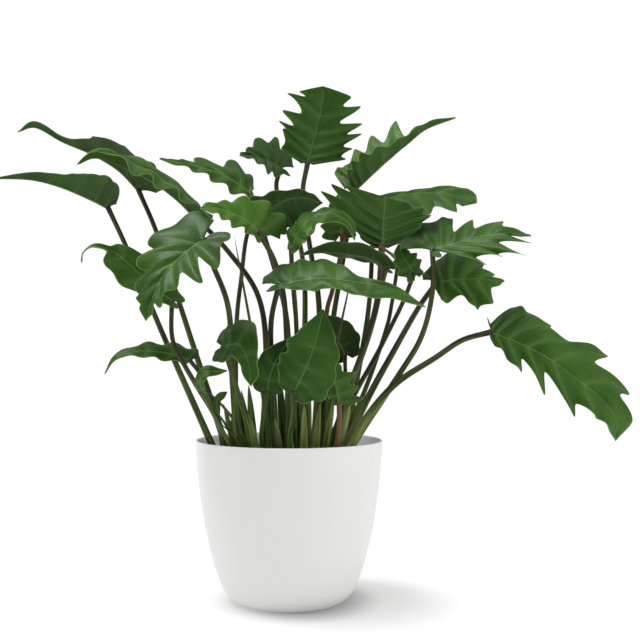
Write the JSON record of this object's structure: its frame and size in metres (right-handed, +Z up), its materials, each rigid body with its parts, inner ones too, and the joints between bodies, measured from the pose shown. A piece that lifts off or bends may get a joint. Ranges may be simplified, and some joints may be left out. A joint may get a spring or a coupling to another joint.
{
  "type": "potted philodendron",
  "caption": "Bushy potted philodendron with finger-lobed arching green leaves on slim stems, in a round tapered white cover pot.",
  "frame": {"origin": "centre of the cover pot's flat underside, on the surface it stands on", "axes": "+Z up; +X to the right of the front view, along the plant's widest reach; the front faces -Y"},
  "size_m": [0.6143, 0.2709, 0.516],
  "materials": {
    "white_pot": "satin",
    "inner_pot": "matte",
    "soil": "rough crumbly potting soil",
    "leaf": "glossy waxy leaf, deep green",
    "stem": "satin, purple-brown above and green below"
  },
  "bodies": {
    "root": {"cover_pot": "white_pot", "growers_pot": "inner_pot", "blade_10": "leaf", "petiole_10": "stem", "blade_11": "leaf", "petiole_11": "stem", "blade_12": "leaf", "petiole_12": "stem", "blade_13": "leaf", "petiole_13": "stem", "blade_14": "leaf", "petiole_14": "stem", "blade_15": "leaf", "petiole_15": "stem", "leaf_16": "leaf", "blade_17": "leaf", "petiole_17": "stem", "leaf_18": "leaf", "leaf_19": "leaf", "blade_20": "leaf", "petiole_20": "stem", "blade_21": "leaf", "petiole_21": "stem", "blade_22": "leaf", "petiole_22": "stem", "blade_23": "leaf", "petiole_23": "stem", "blade_24": "leaf", "petiole_24": "stem", "blade_25": "leaf", "petiole_25": "stem", "blade_26": "leaf", "petiole_26": "stem", "blade_27": "leaf", "petiole_27": "stem", "blade_28": "leaf", "petiole_28": "stem", "blade_29": "leaf", "petiole_29": "stem", "blade_01": "leaf", "petiole_01": "stem", "blade_02": "leaf", "petiole_02": "stem", "blade_03": "leaf", "petiole_03": "stem", "blade_04": "leaf", "petiole_04": "stem", "blade_05": "leaf", "petiole_05": "stem", "blade_06": "leaf", "petiole_06": "stem", "blade_07": "leaf", "petiole_07": "stem", "blade_08": "leaf", "petiole_08": "stem", "blade_09": "leaf", "petiole_09": "stem", "potting_soil": "soil"}
  },
  "joints": []
}
